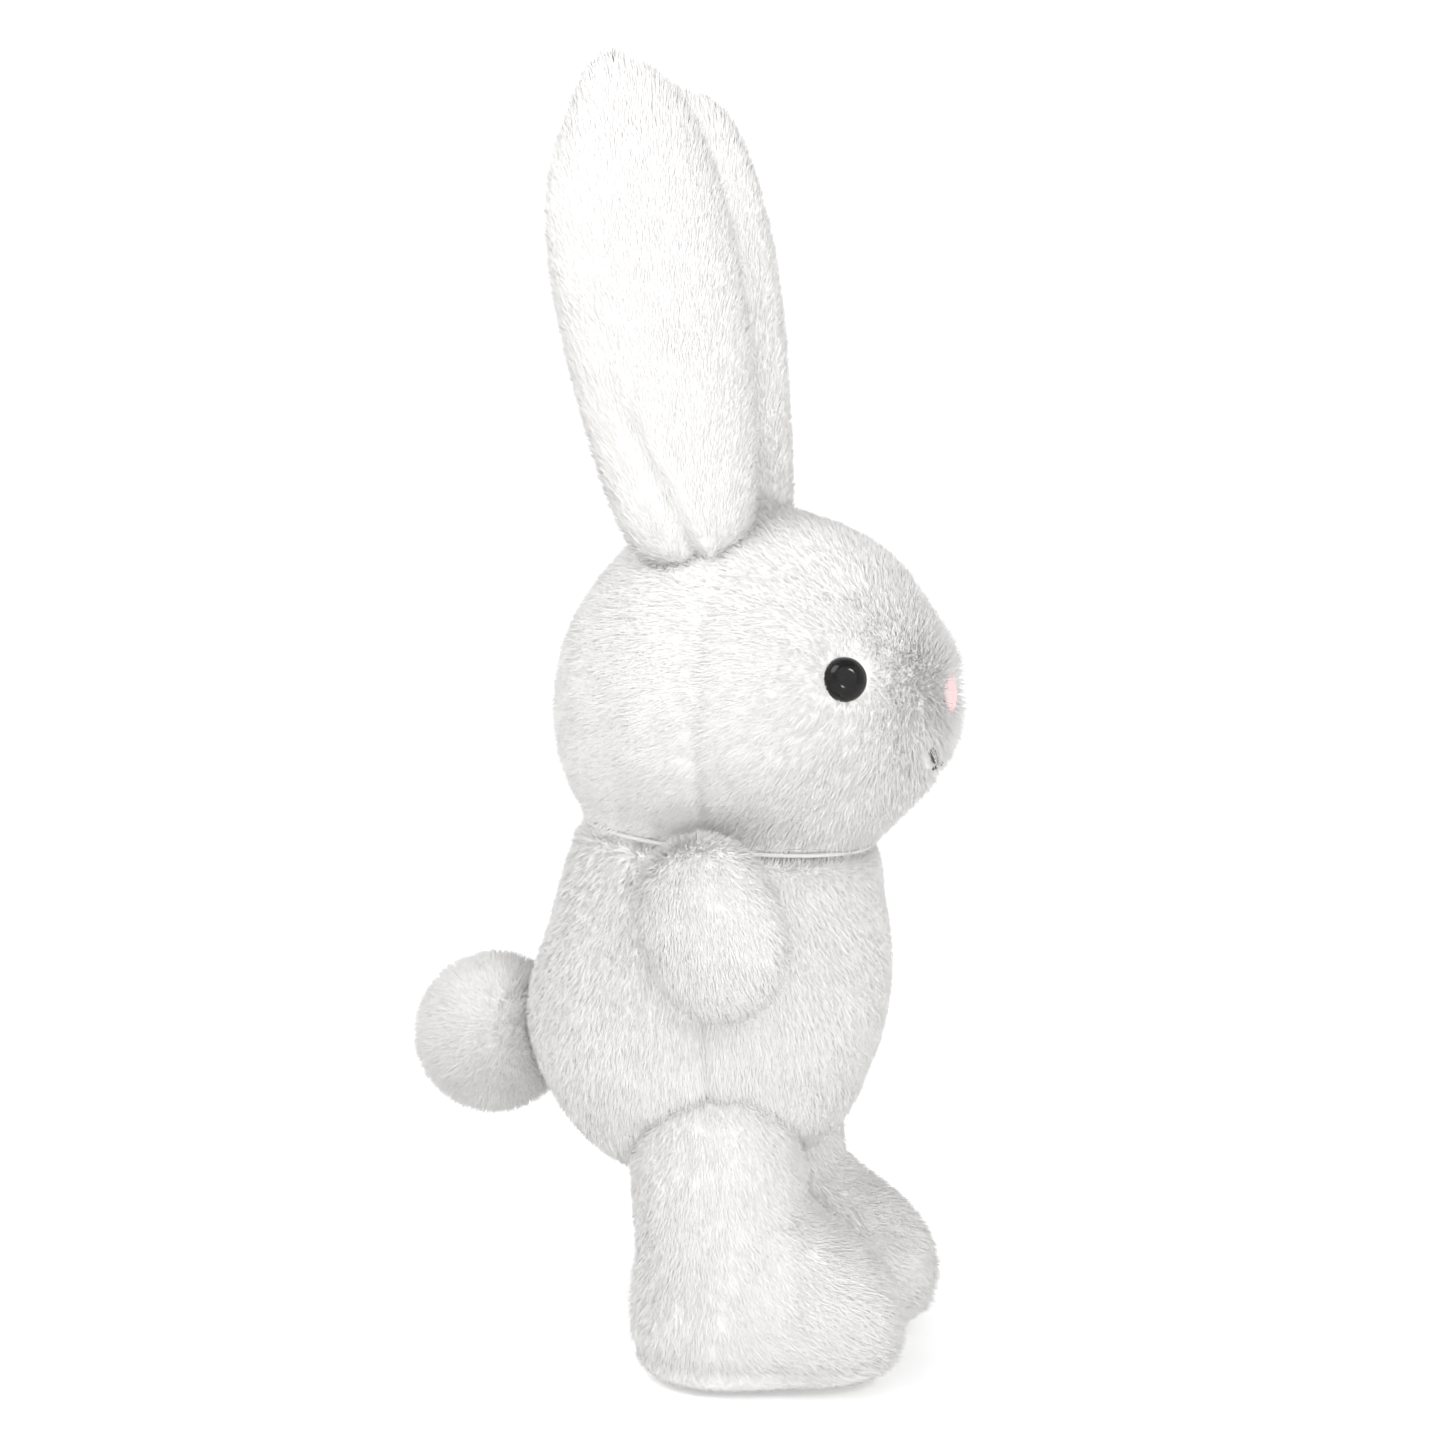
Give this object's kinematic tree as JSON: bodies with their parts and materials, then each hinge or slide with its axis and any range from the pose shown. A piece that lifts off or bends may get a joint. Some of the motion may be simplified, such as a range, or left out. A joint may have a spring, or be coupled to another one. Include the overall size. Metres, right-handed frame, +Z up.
{
  "type": "stuffed bunny rabbit",
  "caption": "A standing white plush rabbit with upright ears, mitten arms, big flat-soled feet and a round tail; sewn panels over stuffing, with sprung soft joints.",
  "frame": {"origin": "middle of the bottom of the bounding box, on the plane of the soles", "axes": "+Z up, the bunny faces -Y, its left side is +X"},
  "size_m": [0.1174, 0.1316, 0.3001],
  "materials": {
    "plush": "matte",
    "sole_fabric": "matte",
    "filling": "matte",
    "eye": "gloss",
    "washer": "matte",
    "nose_thread": "satin",
    "mouth_thread": "matte",
    "sewing_thread": "matte",
    "board": "matte",
    "pellet_bag": "matte"
  },
  "bodies": {
    "torso": {"body_front_panel": "plush", "body_back_panel": "plush", "body_stuffing": "filling"},
    "neck": {"neck_seam_thread": "sewing_thread"},
    "head": {"face_panel": "plush", "head_back_panel": "plush", "head_stuffing": "filling", "eye_left": "eye", "eye_right": "eye", "eye_washer_left": "washer", "eye_washer_right": "washer", "nose_embroidery": "nose_thread", "mouth_embroidery": "mouth_thread"},
    "ear_left": {"ear_front_panel_left": "plush", "ear_back_panel_left": "plush", "ear_wadding_left": "filling"},
    "ear_right": {"ear_front_panel_right": "plush", "ear_back_panel_right": "plush", "ear_wadding_right": "filling"},
    "arm_left": {"arm_outer_panel_left": "plush", "arm_inner_panel_left": "plush", "arm_stuffing_left": "filling"},
    "arm_right": {"arm_outer_panel_right": "plush", "arm_inner_panel_right": "plush", "arm_stuffing_right": "filling"},
    "leg_left": {"leg_outer_panel_left": "plush", "leg_inner_panel_left": "plush", "sole_panel_left": "sole_fabric", "foot_board_left": "board", "pellet_bag_left": "pellet_bag", "leg_stuffing_left": "filling"},
    "leg_right": {"leg_outer_panel_right": "plush", "leg_inner_panel_right": "plush", "sole_panel_right": "sole_fabric", "foot_board_right": "board", "pellet_bag_right": "pellet_bag", "leg_stuffing_right": "filling"},
    "tail": {"tail_skin": "plush", "tail_stuffing": "filling", "tail_gathering_thread": "sewing_thread"}
  },
  "joints": [
    {"name": "head_turn", "type": "hinge", "parent": "torso", "child": "neck", "pos_m": [0, -0.01369, 0.15252], "axis": [0, -0.0924, 0.9957], "range_deg": [-20, 20], "stiffness_Nm_per_rad": 0.25},
    {"name": "head_nod", "type": "hinge", "parent": "neck", "child": "head", "pos_m": [0, -0.01369, 0.15252], "axis": [1, 0, 0], "range_deg": [-10, 7], "stiffness_Nm_per_rad": 0.6},
    {"name": "ear_flop_left", "type": "hinge", "parent": "head", "child": "ear_left", "pos_m": [0.02, -0.0063, 0.199], "axis": [0.337, 0.9265, -0.1677], "range_deg": [-5, 35], "stiffness_Nm_per_rad": 0.12},
    {"name": "ear_flop_right", "type": "hinge", "parent": "head", "child": "ear_right", "pos_m": [-0.02, -0.0063, 0.199], "axis": [0.337, -0.9265, 0.1677], "range_deg": [-5, 35], "stiffness_Nm_per_rad": 0.12},
    {"name": "arm_lift_left", "type": "hinge", "parent": "torso", "child": "arm_left", "pos_m": [0.0443, -0.0143, 0.1202], "axis": [0, -0.891, 0.454], "range_deg": [0, 60], "stiffness_Nm_per_rad": 0.05},
    {"name": "arm_lift_right", "type": "hinge", "parent": "torso", "child": "arm_right", "pos_m": [-0.0443, -0.0143, 0.1202], "axis": [0, 0.891, -0.454], "range_deg": [0, 60], "stiffness_Nm_per_rad": 0.05},
    {"name": "leg_swing_left", "type": "hinge", "parent": "torso", "child": "leg_left", "pos_m": [0.0205, -0.0152, 0.044], "axis": [1, 0, 0], "range_deg": [-12, 12], "stiffness_Nm_per_rad": 1.2},
    {"name": "leg_swing_right", "type": "hinge", "parent": "torso", "child": "leg_right", "pos_m": [-0.0205, -0.0152, 0.044], "axis": [1, 0, 0], "range_deg": [-12, 12], "stiffness_Nm_per_rad": 1.2},
    {"name": "tail_wobble", "type": "hinge", "parent": "torso", "child": "tail", "pos_m": [0, 0.0332, 0.0725], "axis": [1, 0, 0], "range_deg": [-9, 9], "stiffness_Nm_per_rad": 0.04}
  ]
}
